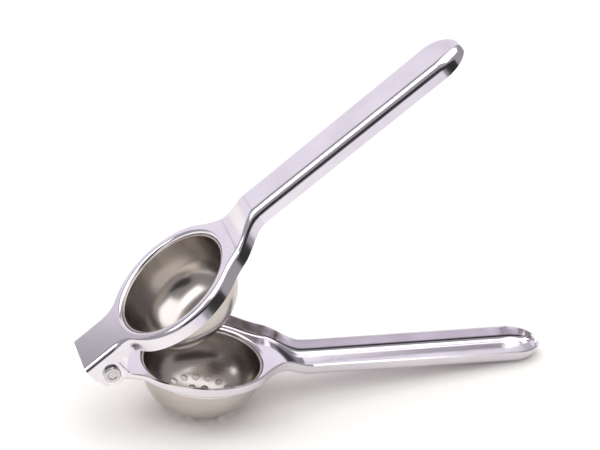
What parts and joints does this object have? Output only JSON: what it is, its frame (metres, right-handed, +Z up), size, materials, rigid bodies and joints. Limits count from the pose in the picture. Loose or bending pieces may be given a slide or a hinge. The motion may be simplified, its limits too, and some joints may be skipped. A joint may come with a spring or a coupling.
{
  "type": "citrus press juicer",
  "caption": "Hand citrus press of sheet steel: hinged channel levers, the upper with a solid press bowl, the lower with a perforated strainer bowl.",
  "frame": {"origin": "on the surface that the juicer stands on, under the middle of its bounding box", "axes": "+X from the hinge towards the tip of the lower lever's handle, +Y across the levers, +Z up"},
  "size_m": [0.2072, 0.0646, 0.1579],
  "materials": {
    "lever_steel": "polished",
    "bowl_steel": "satin",
    "rivet_steel": "satin"
  },
  "bodies": {
    "lower_lever": {"lower_arm": "lever_steel", "strainer_bowl": "bowl_steel", "hinge_rivet": "rivet_steel", "hinge_sleeve": "rivet_steel"},
    "upper_lever": {"upper_arm": "lever_steel", "press_bowl": "bowl_steel"}
  },
  "joints": [
    {"name": "lever_hinge", "type": "hinge", "parent": "lower_lever", "child": "upper_lever", "pos_m": [-0.09241, 0, 0.03177], "axis": [0, -1, 0], "range_deg": [-44, 69]}
  ]
}
